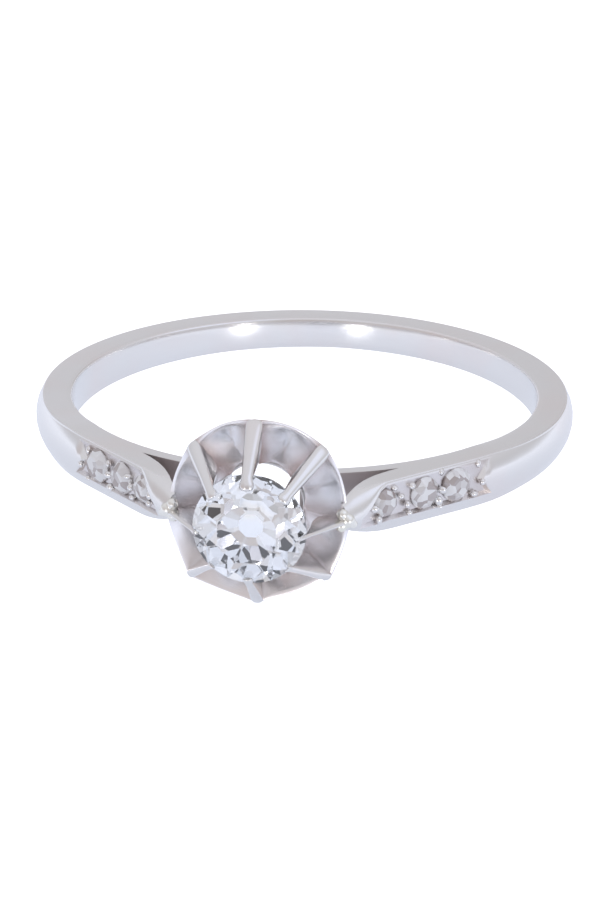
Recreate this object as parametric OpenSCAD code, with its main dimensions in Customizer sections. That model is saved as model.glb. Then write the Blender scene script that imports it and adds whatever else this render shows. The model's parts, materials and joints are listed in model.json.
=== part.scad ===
// Ring with one claw set stone on an eight fluted cup and three small stones on each shoulder.
// Millimetres, Z up. The ring lies on its side, as it rests on a table: its head points
// to -Y, and the origin is on the table under the middle of its bounding box.

/* [Finger hole] */
// Diameter of the finger hole
finger_d = 17; // [16.8:0.1:17]

/* [Band] */
// Thickness of the band at the top of its dome
band_t = 1.32; // [1.3:0.02:1.36]
// Width of the band at the back
back_w = 1.12; // [1:0.02:1.2]
// Width of the band where the shoulders begin
front_w = 1.8; // [1.7:0.02:1.9]
// Width of the band at 63, 78 and 120 degrees from the head
side_w = [1.64, 1.46, 1.28]; // [1.2:0.02:1.68]
// Radius of the dome across the band's outer face
dome_r = 1.5; // [1.5:0.05:1.65]

/* [Shoulders] */
// Angle from the head at which each arm leaves the round band in a straight line
arm_angle = 45; // [43:1:47]
// Angle from the head of the sharp end of the gap between rail and arm
gap_angle = 30; // [28:1:32]
// Thickness of the rail that runs on under the arms
rail_t = 0.55; // [0.5:0.05:0.65]
// Thickness of each arm where it meets the cup
arm_tip_t = 0.5; // [0.4:0.05:0.6]
// Width of each arm where it meets the cup
arm_tip_w = 1.0; // [0.8:0.1:1.2]
// Distance of each arm's end from the middle of the cup
arm_end_x = 3.1; // [3.06:0.02:3.14]
// How far the arm's inner line bows towards the finger between the gap and the cup
arm_bow = 0.15; // [0.1:0.05:0.2]
// Depth of the sunk channel that the small stones lie in
channel_depth = 0.26; // [0.24:0.01:0.3]
// Width of the channel at its band end and at its cup end
channel_w = [1.24, 1.04]; // [1:0.02:1.3]
// How far the channel's middle lies above the arm's middle
channel_up = 0.16; // [0.12:0.01:0.18]
// Length of the fishtail in which the channel ends towards the band
fishtail = 0.45; // [0.3:0.05:0.5]

/* [Small stones] */
// Place of each stone along the right arm, from the band towards the cup
right_at = [0.5, 1.9, 3.6]; // [0.4:0.05:3.7]
// Place of each stone along the left arm, in the same order
left_at = [0.9, 2.4, 3.7]; // [0.4:0.05:3.7]
// Diameter of each small stone, in the same order
small_d = [1.22, 1.16, 0.98]; // [0.9:0.02:1.24]
// Depth of each small stone's girdle under the outer line of its arm
small_sink = 0.18; // [0.16:0.01:0.22]

/* [Cup] */
// How far each claw is turned from its even place, counted from the right arm upwards
claw_turn = [-3, 1, 2, 0, 3, 1.5, 0, 4.5]; // [-5:0.5:5]
// Distance from the middle of the cup to the rim's point behind each claw
rim_r = 3.3; // [3.24:0.02:3.36]
// Distance from the middle of the finger hole to the rim's points
rim_h = 10.5; // [10.4:0.05:10.6]
// How far the rim dips towards the finger between two points
rim_dip = 0.2; // [0.1:0.02:0.26]
// How far the rim bulges past the straight line between two points
rim_bulge = 0.15; // [0.05:0.01:0.25]
// Distance from the middle of the cup to the narrow places of its hole
hole_r = 1.45; // [1.4:0.01:1.5]
// How far the hole bulges past the straight line between two narrow places
hole_bulge = 0.28; // [0.1:0.02:0.3]
// Distance from the middle of the finger hole to the edge of the cup's hole
hole_h = 9.75; // [9.65:0.05:9.8]
// Thickness of the cup's wall
cup_t = 0.22; // [0.2:0.01:0.26]
// Outer radius of the collar under the cup
collar_r = 2.0; // [1.95:0.01:2.1]
// Distance that the collar's back end keeps from the finger hole
collar_back = 0.12; // [0.1:0.02:0.2]

/* [Claws] */
// Diameter of the rounded rod along each claw
claw_d = 0.46; // [0.42:0.02:0.5]
// Thickness of the web under the rod
web_t = 0.3; // [0.25:0.01:0.35]
// Distance from the middle of the cup to the centre of each claw's outer end
claw_out_r = 3.12; // [3.08:0.02:3.16]
// Distance from the middle of the finger hole to the centre of each claw's outer end
claw_out_h = 10.58; // [10.5:0.02:10.6]
// Distance from the middle of the cup to the centre of each claw's tip
claw_tip_r = 1.68; // [1.64:0.02:1.74]
// Distance from the middle of the finger hole to the centre of each claw's tip
claw_tip_h = 12.5; // [12.46:0.02:12.54]

/* [Middle stone] */
// Diameter of the middle stone at its girdle
stone_d = 3.92; // [3.86:0.02:3.96]
// Distance from the middle of the finger hole to the middle stone's girdle
girdle_h = 12.12; // [12.1:0.01:12.14]
// Gap left between each stone and its metal
seat_gap = 0.03; // [0.02:0.01:0.04]

/* [Hidden] */

// Roundness of the ring, of the cup's round parts, of the dome and of the claws
ring_fn = 180;
cup_fn = 96;
dome_fn = 90;
rod_fn = 32;

// Lengths by which clipping shapes run past what they clip
big = 40;
overlap = 1;

hole_radius = finger_d / 2;
outer_r = hole_radius + band_t;
rail_r = hole_radius + rail_t;
claw_r = claw_d / 2;

// Number of claws and of flutes, the even angle of one flute, and the steps across a flute and
// round the cup
claws = 8;
flute = 360 / claws;
flute_steps = 6;
cup_steps = claws * flute_steps;

// How far the back edge of the cup's rim stands out past its front edge
rim_flare = cup_t / 4;

// The web's free edge under the stone: its slant at the foot, and its distance from the tip
web_foot_slant = 0.2;
web_tip_across = 0.1;
web_tip_down = 0.3;

// Stone proportions, as shares of the girdle's radius, and facet counts
table_share = 0.5;
crown_share = 0.32;
pavilion_share = 0.86;
girdle_share = 0.04;
culet_share = 0.08;
table_facets = 8;
girdle_facets = 16;

// Width of the band by angle from the head: it narrows from just behind the arms to the back
band_w = [[0, front_w], [53, front_w], [63, side_w[0]], [78, side_w[1]], [120, side_w[2]],
    [180, back_w]];

// Distances from the finger hole's middle between which each arm narrows to its tip
arm_taper_from = 9.5;
arm_taper_to = 10.6;

// Steps of the arm's bowed inner line
bow_steps = 8;

// Length that the channel keeps beyond its first and its last stone
channel_margin = 0.12;

// Resting pose: the lowest claw and the band's lower edge at the back both touch the table
back_edge_r = outer_r - dome_r + sqrt(dome_r * dome_r - back_w * back_w / 4);
rest_run = claw_out_h + back_edge_r;
rest_rise = claw_out_r - back_w / 2;
tilt = atan(rest_rise / rest_run) + asin(claw_r / norm([rest_run, rest_rise]));
lift = back_edge_r * sin(tilt) + back_w / 2 * cos(tilt);
front_reach = claw_tip_h * cos(tilt) + claw_tip_r * sin(tilt) + claw_r;
back_reach = (outer_r - dome_r) * cos(tilt) + dome_r;
slide = (front_reach - back_reach) / 2;

// The straight arm seen along the finger: x to the side, second number towards the head
arm_dir = [-cos(arm_angle), sin(arm_angle)];
arm_start = outer_r * [sin(arm_angle), cos(arm_angle)];
arm_len = (arm_start[0] - arm_end_x) / cos(arm_angle);
arm_end = arm_start + arm_len * arm_dir;
arm_inward = [-sin(arm_angle), -cos(arm_angle)];
gap_point = rail_r * [sin(gap_angle), cos(gap_angle)];

// Lays the ring, modelled round Z with its head towards -Y, on the table
module resting() {
    translate([0, slide, lift]) rotate([-tilt, 0, 0]) children();
}

// Turns a shape modelled with Z out of the finger's axis so that it points to the head
module on_head() {
    rotate([90, 0, 0]) children();
}

// Puts a shape on the outer line of an arm: its Z points outwards, its X back to the band
module on_arm(side, along) {
    place = arm_start + along * arm_dir;
    mirror([side < 0 ? 1 : 0, 0, 0])
        translate([place[0], -place[1], 0])
            rotate([90, 0, arm_angle])
                children();
}

// A prism along X of an outline in the Y-Z plane
module across() {
    rotate([90, 0, 90]) linear_extrude(height = big, center = true) children();
}

// The part of space around the head, within arm_angle on both sides
module front_wedge() {
    reach = 2 * outer_r;
    linear_extrude(height = big, center = true)
        polygon([[0, 0], [reach * tan(arm_angle), -reach], [-reach * tan(arm_angle), -reach]]);
}

// The domed band, narrower at the back and open at the front
module band() {
    difference() {
        intersection() {
            rotate_extrude($fn = ring_fn)
                intersection() {
                    translate([hole_radius - overlap, -front_w / 2])
                        square([band_t + overlap, front_w]);
                    translate([outer_r - dome_r, 0]) circle(dome_r, $fn = dome_fn);
                }
            across() {
                last = len(band_w) - 1;
                polygon(concat(
                    [for (i = [0:last]) [-outer_r * cos(band_w[i][0]), -band_w[i][1] / 2]],
                    [for (i = [last:-1:0]) [-outer_r * cos(band_w[i][0]), band_w[i][1] / 2]]));
            }
        }
        front_wedge();
    }
}

// The thin rail that closes the finger hole under the arms
module rail() {
    intersection() {
        cylinder(r = rail_r, h = front_w, center = true, $fn = ring_fn);
        front_wedge();
    }
}

// One straight arm: it leaves the band at a tangent and thins out towards the cup
module arm(side) {
    start_inner = arm_start + band_t * arm_inward;
    end_inner = arm_end + arm_tip_t * arm_inward;
    bowed = [for (i = [bow_steps:-1:0])
        let (u = i / bow_steps)
            gap_point + u * (end_inner - gap_point) + arm_bow * 4 * u * (1 - u) * arm_inward];
    outline = concat([arm_start, arm_end], bowed, [start_inner]);
    far = outer_r + front_w;
    mirror([side < 0 ? 1 : 0, 0, 0])
        intersection() {
            linear_extrude(height = big, center = true)
                polygon([for (p = outline) [p[0], -p[1]]]);
            on_arm(1, 0)
                across()
                    intersection() {
                        translate([0, -dome_r]) circle(dome_r, $fn = dome_fn);
                        translate([-front_w / 2, -2 * dome_r]) square([front_w, 2 * dome_r]);
                    }
            across()
                polygon([[0, -front_w / 2], [-arm_taper_from, -front_w / 2],
                    [-arm_taper_to, -arm_tip_w / 2], [-far, -arm_tip_w / 2], [-far, arm_tip_w / 2],
                    [-arm_taper_to, arm_tip_w / 2], [-arm_taper_from, front_w / 2], [0, front_w / 2]]);
        }
}

// Angle of a claw, counted on past a full turn
function claw_at(i) = i * flute + claw_turn[i % claws];

// Place of a ring's corner at a claw
function corner(corner_r, i) = corner_r * [cos(claw_at(i)), sin(claw_at(i))];

// One ring of points of the cup: its corners lie at the claws, and between two corners it bulges
// outwards and dips
function cup_ring(corner_r, bulge, height, dip) =
    [for (i = [0:claws - 1], k = [0:flute_steps - 1])
        let (t = k / flute_steps, share = 4 * t * (1 - t),
            from = corner(corner_r, i), along = corner(corner_r, i + 1) - from,
            place = from + t * along + bulge * share * [along[1], -along[0]] / norm(along))
            [place[0], place[1], height - dip * share]];

// The fluted cup: an inner and an outer skin joined along the rim and the hole
module cup() {
    rings = [
        cup_ring(hole_r, hole_bulge, hole_h, 0),
        cup_ring(rim_r, rim_bulge, rim_h, rim_dip),
        cup_ring(rim_r + rim_flare, rim_bulge, rim_h - cup_t, rim_dip),
        cup_ring(hole_r, hole_bulge, hole_h - cup_t, 0)];
    count = len(rings);
    polyhedron(
        points = [for (ring = rings) each ring],
        faces = [for (k = [0:count - 1], i = [0:cup_steps - 1])
            let (j = (i + 1) % cup_steps, near = k * cup_steps, far = (k + 1) % count * cup_steps)
                each [[near + i, near + j, far + j], [near + i, far + j, far + i]]]);
}

// The short collar that joins the cup to the rail
module collar() {
    foot = hole_radius + collar_back;
    translate([0, 0, foot]) cylinder(r = collar_r, h = hole_h - foot, $fn = cup_fn);
}

// One claw along +X: a rounded rod on a thin web
module claw() {
    run = claw_tip_r - claw_out_r;
    rise = claw_tip_h - claw_out_h;
    foot_r = hole_r + hole_bulge;
    rotate([90, 0, 0])
        linear_extrude(height = web_t, center = true)
            polygon([[claw_out_r, claw_out_h], [rim_r, rim_h - cup_t / 2], [foot_r, hole_h],
                [foot_r + web_foot_slant, claw_out_h],
                [claw_tip_r + web_tip_across, claw_tip_h - web_tip_down]]);
    translate([claw_out_r, 0, claw_out_h]) {
        sphere(claw_r, $fn = rod_fn);
        rotate([0, atan2(run, rise), 0]) cylinder(r = claw_r, h = norm([run, rise]), $fn = rod_fn);
    }
    translate([claw_tip_r, 0, claw_tip_h]) sphere(claw_r, $fn = rod_fn);
}

// The outer form of a stone for cutting its seat, with its table up and its girdle at 0
module seat(d) {
    r = d / 2;
    edge = (girdle_share * r + seat_gap) / 2;
    rotate_extrude($fn = cup_fn)
        polygon([[0, -pavilion_share * r - seat_gap], [culet_share * r, -pavilion_share * r - seat_gap],
            [r + seat_gap, -edge], [r + seat_gap, edge],
            [table_share * r + seat_gap, crown_share * r + seat_gap], [0, crown_share * r + seat_gap]]);
}

// A cut stone with its table up and its girdle at 0
module stone(d) {
    r = d / 2;
    girdle = girdle_share * r;
    color("aliceblue")
        hull() {
            translate([0, 0, -pavilion_share * r])
                cylinder(r = culet_share * r, h = girdle, $fn = table_facets);
            cylinder(r = r, h = girdle, center = true, $fn = girdle_facets);
            translate([0, 0, crown_share * r - girdle])
                cylinder(r = table_share * r, h = girdle, $fn = table_facets);
        }
}

// Places of the small stones along one arm
function small_at(side) = side > 0 ? right_at : left_at;

// Puts a shape at one small stone's girdle
module on_girdle(side, i) {
    on_arm(side, small_at(side)[i]) translate([0, channel_up, -small_sink]) children();
}

// The sunk channel on one arm and the seats of its three stones
module channel(side) {
    last = len(small_d) - 1;
    band_end = small_d[0] / 2 + channel_margin - small_at(side)[0];
    cup_end = -small_d[last] / 2 - channel_margin - small_at(side)[last];
    half = channel_w / 2;
    on_arm(side, 0)
        translate([0, channel_up, -channel_depth])
            linear_extrude(height = overlap)
                polygon([[band_end, 0], [band_end + fishtail, half[0]], [cup_end, half[1]],
                    [cup_end, -half[1]], [band_end + fishtail, -half[0]]]);
    for (i = [0:last]) on_girdle(side, i) seat(small_d[i]);
}

// All the soldered metal in one solid, with the finger hole, the cup's hole and the seats cut
module mounting() {
    color("gainsboro")
        difference() {
            union() {
                band();
                rail();
                for (side = [-1, 1]) arm(side);
                on_head() {
                    collar();
                    cup();
                    for (i = [0:claws - 1]) rotate([0, 0, claw_at(i)]) claw();
                }
            }
            cylinder(r = hole_radius, h = big, center = true, $fn = ring_fn);
            on_head() {
                cylinder(r = hole_r, h = hole_h, $fn = cup_fn);
                translate([0, 0, girdle_h]) seat(stone_d);
            }
            for (side = [-1, 1]) channel(side);
        }
}

module centre_stone() {
    on_head() translate([0, 0, girdle_h]) stone(stone_d);
}

module small_stone(side, i) {
    on_girdle(side, i) stone(small_d[i]);
}

resting() mounting();
resting() centre_stone();
resting() small_stone(1, 0);  // right_stone_1
resting() small_stone(1, 1);  // right_stone_2
resting() small_stone(1, 2);  // right_stone_3
resting() small_stone(-1, 0);  // left_stone_1
resting() small_stone(-1, 1);  // left_stone_2
resting() small_stone(-1, 2);  // left_stone_3
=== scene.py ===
import json
import math
import random

import bmesh
import bpy
from mathutils import Matrix, Vector


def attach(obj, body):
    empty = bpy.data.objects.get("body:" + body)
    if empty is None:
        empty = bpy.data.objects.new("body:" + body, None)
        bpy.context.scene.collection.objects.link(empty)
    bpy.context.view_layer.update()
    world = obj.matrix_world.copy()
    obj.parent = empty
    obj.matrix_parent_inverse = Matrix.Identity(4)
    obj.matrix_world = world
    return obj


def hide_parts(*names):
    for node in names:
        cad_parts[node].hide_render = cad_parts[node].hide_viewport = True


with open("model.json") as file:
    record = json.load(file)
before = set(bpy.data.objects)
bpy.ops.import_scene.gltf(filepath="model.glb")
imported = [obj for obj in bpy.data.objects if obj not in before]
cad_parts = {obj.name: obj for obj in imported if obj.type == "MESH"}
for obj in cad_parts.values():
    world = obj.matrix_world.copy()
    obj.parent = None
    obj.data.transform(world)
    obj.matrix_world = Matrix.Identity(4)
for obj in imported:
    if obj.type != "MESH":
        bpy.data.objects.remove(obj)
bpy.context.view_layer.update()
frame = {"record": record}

# Everything is modelled in millimetres in the ring's own frame: the finger goes in along Z,
# the head points to -Y and the right shoulder lies at +X. PLACE then lays it on the table.
MM = 0.001
MICRON = 0.000001
finger_hole = frame["record"]["mounts"][0]
finger_axis = Vector(finger_hole["axis"]).normalized()
TILT = math.atan2(finger_axis.y, finger_axis.z)
PLACE = (Matrix.Translation(Vector(finger_hole["pos_m"]))
         @ Matrix.Rotation(-TILT, 4, "X") @ Matrix.Scale(MM, 4))
RIGHT, LEFT = 1, -1

# Band
HOLE_R = finger_hole["dims"]["r_mm"]
BAND_T = 1.32
OUTER_R = HOLE_R + BAND_T
BAND_STEPS = 72
# The outer edges are rounded. The lower one has a middle point, at this share of its radius
EDGE_R = 0.05
EDGE_MIDDLE = 0.3
# By angle from the head in degrees: half of the band's width, how far its outer face falls away at
# its sides, how much further out its upper side face lies, and its thickness
BAND_HALF_WIDTH = ((53, 0.9), (63, 0.81), (78, 0.73), (120, 0.64), (150, 0.585), (180, 0.56))
DOME_DROP = ((53, 0.3), (80, 0.26), (120, 0.22), (180, 0.18))
RAISED = ((120, 0), (180, 0.04))
THICKNESS = ((60, BAND_T), (120, BAND_T), (180, BAND_T - 0.1))
# The finger side: how far its middle stands proud of its sides, and the radii of its two edges
INNER_CROWN = 0.035
UPPER_EDGE_R = 0.09
LOWER_EDGE_R = 0.04

# Shoulders: an arm leaves the round band at ARM_ANGLE from the head, and lengths along it start
# there. At GAP_ANGLE the rail parts from it and goes on round the finger, into the collar.
ARM_ANGLE = math.radians(45)
GAP_ANGLE = math.radians(30)
ARM_END = 5.3
ARM_TIP_T = 0.45
SHOULDER_HALF = 0.9
RAIL_R = HOLE_R + 0.55
RAIL_END_X = 1.6
RAIL_END_R = 1.52
RAIL_STEPS = 12
# By length along an arm: distance of its lower and its upper side from the middle, height of
# the edge where its upper side rolls forward, depth of that roll, and width of the metal left
# under and over the channel
LOWER_HALF_WIDTH = ((3.3, 0.9), (3.8, 0.86), (4.3, 0.77), (4.8, 0.64), (5.3, 0.46))
UPPER_HALF_WIDTH = ((3.6, 0.9), (4.1, 0.86), (4.5, 0.78), (4.9, 0.64), (5.3, 0.44))
ROLL_EDGE = ((3.5, 0.85), (3.75, 0.74), (4.4, 0.13), (4.74, -0.16), (5.3, -0.25))
ROLL_DEPTH = ((3.5, 0.05), (4.0, 0.3), (4.5, 0.5), (5.3, 0.4))
LOWER_BORDER = ((0, 0.44), (3.5, 0.44), (4.3, 0.3), (4.8, 0.16), (5.3, 0.1))
UPPER_BORDER = ((0, 0.07), (3.5, 0.07), (4, 0.03), (5.3, 0.02))

# The channel starts in a fishtail with a tongue in its middle, and its walls lean outwards
CHANNEL_UP = 0.16
CHANNEL_END = 4.7
FLOOR_DEPTH = 0.23
WALL_SLOPE = 0.12
TONGUE_AT = {RIGHT: -0.6, LEFT: 0.05}
FISHTAIL = 0.45
FISHTAIL_FADE = 1.1
# Places of the shank's sections: at these lengths before the tongue, along the closed part of an
# arm but not this close after the tongue, and along the part over the gap
BEFORE_TONGUE = (0.7, 0.35)
CLOSED_ARM = (0, 0.6, 1.2, 1.8)
AFTER_TONGUE = 0.1
OPEN_ARM = (2.8, 3.2, 3.5, 3.8, 4.05, 4.3, 4.5, CHANNEL_END, 4.9, 5.1, ARM_END)

# Small stones in the channel, largest first, with the lengths along the arm of their middles
SMALL_SINK = 0.18
SMALL_D = (1.22, 1.16, 0.98)
SMALL_AT = {RIGHT: (0.5, 1.9, 3.6), LEFT: (0.9, 2.4, 3.7)}
# A seat's edge lies this far inside its stone's. The depth of a seat is a share of the stone's
# radius, and the size of its floor is a share of its edge's
SEAT_STEP = 0.12
SEAT_SIDES = 28
SEAT_DEPTH = 0.6
SEAT_FLOOR = 0.3
# Grains of metal raised against the small stones: length along the arm, height from its middle.
# Each is stretched by its own shares between the two of GRAIN_SHAPE. Roundings are subdivision
# levels, here and below
GRAIN_R = 0.15
GRAIN_SINK = 0.08
GRAIN_SHAPE = (0.7, 1.2)
GRAIN_ROUNDING = 3
GRAINS = {
    RIGHT: ((-0.53, 0.7), (-0.6, 0.05), (-0.23, -0.3), (1.1, 0.74), (1.2, 0.14), (1.35, -0.22),
            (1.3, -0.48), (2.45, 0.55), (2.97, 0.3), (2.72, -0.05), (2.6, -0.4), (3.2, 0.62),
            (4.15, 0.1), (3.9, -0.36)),
    LEFT: ((0.3, 0.56), (-0.05, -0.05), (0.35, -0.46), (1.6, 0.46), (1.7, 0.08), (1.75, -0.4),
           (2.85, 0.36), (3.1, 0.06), (3.15, -0.3), (4.25, 0.1), (4.2, -0.2))}
# Drops of solder at an arm's tip: length along the arm, height, depth, radius. They run together
# on a grid of SOLDER_STEP, which is then smoothed
SOLDER = (
    (5.2, -0.12, 0.2, 0.27),
    (5.42, -0.3, 0.28, 0.22),
    (5.35, 0.1, 0.3, 0.22),
    (5.02, -0.26, 0.12, 0.16))
DROP_ROUNDING = 4
SOLDER_STEP = 0.03
SOLDER_SOFTNESS = 0.5
SOLDER_PASSES = 8

# Head: modelled upright, with its heights along Z from the finger hole's middle. TO_HEAD then
# turns Z to -Y
TO_HEAD = Matrix.Rotation(math.radians(90), 4, "X")
CLAWS = 8
FLUTE = 2 * math.pi / CLAWS
HOLE_EDGE_R, HOLE_EDGE_H, HOLE_BULGE = 1.45, 9.75, 0.28
RIM_H = 10.5
# The lowest petal is flat. The others gain, up to the highest one: bulge of the rim, dip of the rim
# between two claws, and flare
RIM_BULGE, RIM_DIP, FLARE = 0.14, 0.3, 0.35
CUP_T = 0.11
CUP_EDGE_R = 0.03
CUP_EDGE_ANGLE = math.radians(60)
FLUTE_STEPS = 16
CUP_STEPS = 10
# Painted shade: the cup is darker beside the claws, over this width and less so at the lowest
# petal, and a little towards its hole
PAINTED_SHADE_WIDTH = 0.38
PAINTED_SHADE_LOW = 0.2
PAINTED_SHADE_HOLE = 0.22
COLLAR_R = 2.0
COLLAR_FOOT = HOLE_R + 0.12
COLLAR_TOP = HOLE_EDGE_H - 0.05
COLLAR_EDGE_R = 0.07
COLLAR_STEPS = 72
# One value for each claw, from the right arm upwards: turn from the even place in degrees,
# distance of the rim's point behind the claw, width as a share of that in CLAW_SECTIONS, reach of
# the tip in over the girdle, and depth of the fold in the flute that follows the claw
CLAW_TURN = (-3.0, 1.0, 2.0, 0.0, 3.0, 1.5, 0.0, 2.5)
RIM_R = (3.18, 3.38, 3.32, 3.3, 3.2, 3.49, 3.38, 3.42)
CLAW_WIDTH = (0.45, 1.3, 1.4, 1.25, 0.45, 0.8, 1.05, 0.75)
CLAW_REACH = (0.16, 0.3, 0.45, 0.28, 0.12, 0.2, 0.3, 0.14)
FLUTE_FOLD = (0.16, 0.24, 0.24, 0.16, 0.0, 0.03, 0.05, 0.04)
# Sections of a claw from its outer end to its tip. A station is 1 at the rim's point, 0 at the
# girdle and -1 at the tip
CLAW_SECTIONS = (
    # station and height of the top, station and height of the foot, half width of top and foot
    (1.02, 10.46, 1.0, 10.32, 0.17, 0.1),
    (0.97, 10.68, 0.88, 10.34, 0.26, 0.18),
    (0.45, 11.6, 0.14, 9.98, 0.23, 0.15),
    (0.16, 12.12, -0.2, 10.7, 0.2, 0.14),
    (0.04, 12.36, -0.15, 11.9, 0.175, 0.13),
    (-0.15, 12.46, -0.3, 12.16, 0.15, 0.12),
    (-0.5, 12.58, -0.6, 12.26, 0.21, 0.16),
    (-0.9, 12.62, -0.92, 12.36, 0.19, 0.14),
    (-1.0, 12.55, -1.0, 12.42, 0.1, 0.08))
# A claw's shoulder lies at most this far under its top, and its top is this share of the
# shoulder's width
CLAW_SHOULDER = 0.3
CLAW_TOP_SHARE = 0.5
CLAW_ROUNDING = 3

# Stones: sizes of the cuts are shares of a stone's radius, and slopes are in degrees
STONE_D = 3.92
GIRDLE_H = 12.12
MAINS = 8
GIRDLE_T, TABLE, CROWN_H, PAVILION_H = 0.04, 0.52, 0.3, 0.84
CROWN_SLOPE, PAVILION_SLOPE = 30, 46
# The mains stand this far off the girdle, and the stars meet the table this far past its radius
MAIN_RAISE = 0.02
STAR_REACH = 1.03
STAR_EASE, UPPER_HALF_STEEPER, LOWER_HALF_STEEPER = 14, 7, 3
SMALL_CROWN_H = 0.42
SMALL_SLOPE = 44
ROUGH_SIDES, SMALL_ROUGH_SIDES = 64, 32
CUT_WITHIN = 0.00001

# Vertices this close are merged, edges sharper than CREASE stay sharp, and large faces weigh more
# than small ones in the normals, which at 50 would weigh the same
MERGE_WITHIN = 0.0005
CREASE = math.radians(32)
FLAT_FACES_WEIGHT = 80


# Finishing pieces
def finish_piece(bm, name, materials, slot, nodes):
    """Turns a bmesh into a piece that lies on the table and rides with the ring."""
    bmesh.ops.remove_doubles(bm, verts=bm.verts, dist=MERGE_WITHIN)
    bmesh.ops.recalc_face_normals(bm, faces=bm.faces)
    bm.transform(PLACE)
    mesh = bpy.data.meshes.new(name)
    bm.to_mesh(mesh)
    bm.free()
    mesh.polygons.foreach_set("use_smooth", [slot == "white_metal"] * len(mesh.polygons))
    piece = bpy.data.objects.new(name, mesh)
    bpy.context.scene.collection.objects.link(piece)
    for material in materials:
        mesh.materials.append(material)
    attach(piece, "root")
    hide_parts(*nodes)
    return piece


def metal_piece(bm, name, *materials):
    """A piece of the mounting."""
    return finish_piece(bm, name, materials, "white_metal", ["mounting"])


def keep_creases(piece):
    """Sharp creases, and flat faces that keep their own normal."""
    piece.data.set_sharp_from_angle(angle=CREASE)
    weighted = piece.modifiers.new("even normals", "WEIGHTED_NORMAL")
    weighted.keep_sharp = True
    weighted.weight = FLAT_FACES_WEIGHT


def between(rows, x):
    """Value at x in a short table of (x, value) rows, in straight lines between the rows."""
    if x <= rows[0][0]:
        return rows[0][1]
    for (x0, y0), (x1, y1) in zip(rows, rows[1:]):
        if x <= x1:
            return y0 + (y1 - y0) * (x - x0) / (x1 - x0)
    return rows[-1][1]


def made_of(geometry, kind):
    """The verts, edges or faces in what an operator made."""
    return [g for g in geometry if isinstance(g, kind)]


def drawn_on(bm, face):
    """Extrudes the end face of a bar, and takes away the face that this leaves inside it."""
    made = bmesh.ops.extrude_face_region(bm, geom=[face])
    bmesh.ops.delete(bm, geom=[face], context="FACES_ONLY")
    return made_of(made["geom"], bmesh.types.BMFace)[0]


# Places on the shank
def outward_from(side):
    """Direction that an arm's outer face looks in."""
    return Vector((side * math.sin(ARM_ANGLE), -math.cos(ARM_ANGLE), 0))


def on_band(side, along, depth, z):
    """Point under the outer line by depth, at a length along it from the start of an arm."""
    radius = OUTER_R - depth
    if along <= 0:
        angle = ARM_ANGLE - along / OUTER_R
        return Vector((side * radius * math.sin(angle), -radius * math.cos(angle), z))
    x = radius * math.sin(ARM_ANGLE) - along * math.cos(ARM_ANGLE)
    y = -radius * math.cos(ARM_ANGLE) - along * math.sin(ARM_ANGLE)
    return Vector((side * x, y, z))


def on_arm(side, along, depth):
    """Frame of a small stone: Z points out of the arm, and its place is over the channel's middle."""
    outward = outward_from(side)
    ahead = Vector((-side * math.cos(ARM_ANGLE), -math.sin(ARM_ANGLE), 0))
    upward = Vector((0, 0, 1))
    axes = Matrix((upward.cross(outward), upward, outward)).transposed().to_4x4()
    axes.translation = on_band(side, 0, depth, CHANNEL_UP) + along * ahead
    return axes


GAP_ALONG = RAIL_R * math.sin(ARM_ANGLE - GAP_ANGLE)
GAP_DEPTH = OUTER_R - RAIL_R * math.cos(ARM_ANGLE - GAP_ANGLE)
BACK_ALONG = -(math.pi - ARM_ANGLE) * OUTER_R

# Columns of vertices round a section. The outer face comes first, from the lower edge to the
# upper one, with the channel in its middle; then the upper side, the finger side and the lower side.
CHANNEL_FIRST, CHANNEL_LAST = 2, 6
EDGE_COLUMN = 8
ROLL_STEPS = 8
CORNER_STEPS = 4
INNER_SHARES = (0.75, 0.5, 0.25, 0.0, -0.25, -0.5, -0.75)
GAP_UPPER = EDGE_COLUMN + ROLL_STEPS + 1
GAP_LOWER = GAP_UPPER + 2 * (CORNER_STEPS + 1) + len(INNER_SHARES) + 1


# Sections of the shank
def angle_at(along):
    """Angle from the head, in degrees, of a place on the round band."""
    return math.degrees(ARM_ANGLE - min(along, 0) / OUTER_R)


def thickness_at(along):
    """Depth of the inner face: the finger hole's wall, and past the gap the arm's own underside."""
    if along <= 0:
        return between(THICKNESS, angle_at(along))
    if along <= GAP_ALONG:
        return OUTER_R - math.sqrt(HOLE_R * HOLE_R - along * along)
    share = (along - GAP_ALONG) / (ARM_END - GAP_ALONG)
    return GAP_DEPTH - (GAP_DEPTH - ARM_TIP_T) * share * share


def half_widths(along):
    """Distances of the lower and the upper side face from the middle."""
    if along <= 0:
        half = between(BAND_HALF_WIDTH, angle_at(along))
        return half, half + between(RAISED, angle_at(along))
    return between(LOWER_HALF_WIDTH, along), between(UPPER_HALF_WIDTH, along)


def dome_depth(along, z):
    """How far the domed outer face lies under the outer line at a height z."""
    drop = between(DOME_DROP, angle_at(along))
    half = max(half_widths(along))
    radius = (half * half + drop * drop) / (2 * drop)
    return radius - math.sqrt(radius * radius - z * z)


def outer_face(along, lower, upper, edge):
    """Points of the outer face, with the channel's columns between its two borders."""
    low = -lower + between(LOWER_BORDER, along) * lower / SHOULDER_HALF
    high = edge - between(UPPER_BORDER, along) * upper / SHOULDER_HALF
    columns = CHANNEL_LAST - CHANNEL_FIRST
    heights = [-lower + EDGE_R, (-lower + EDGE_R + low) / 2]
    heights += [low + (high - low) * i / columns for i in range(columns + 1)]
    heights += [(high + edge) / 2, edge]
    return [(dome_depth(along, z), z) for z in heights]


def rolled_edge(along, upper, edge):
    """Points of the upper outer edge, which rolls forward towards the arm's tip."""
    start = dome_depth(along, edge)
    roll = between(ROLL_DEPTH, along)
    points = []
    for i in range(1, ROLL_STEPS + 1):
        turn = math.pi / 2 * i / ROLL_STEPS
        points.append((start + roll * (1 - math.cos(turn)), edge + (upper - edge) * math.sin(turn)))
    return points


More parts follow.
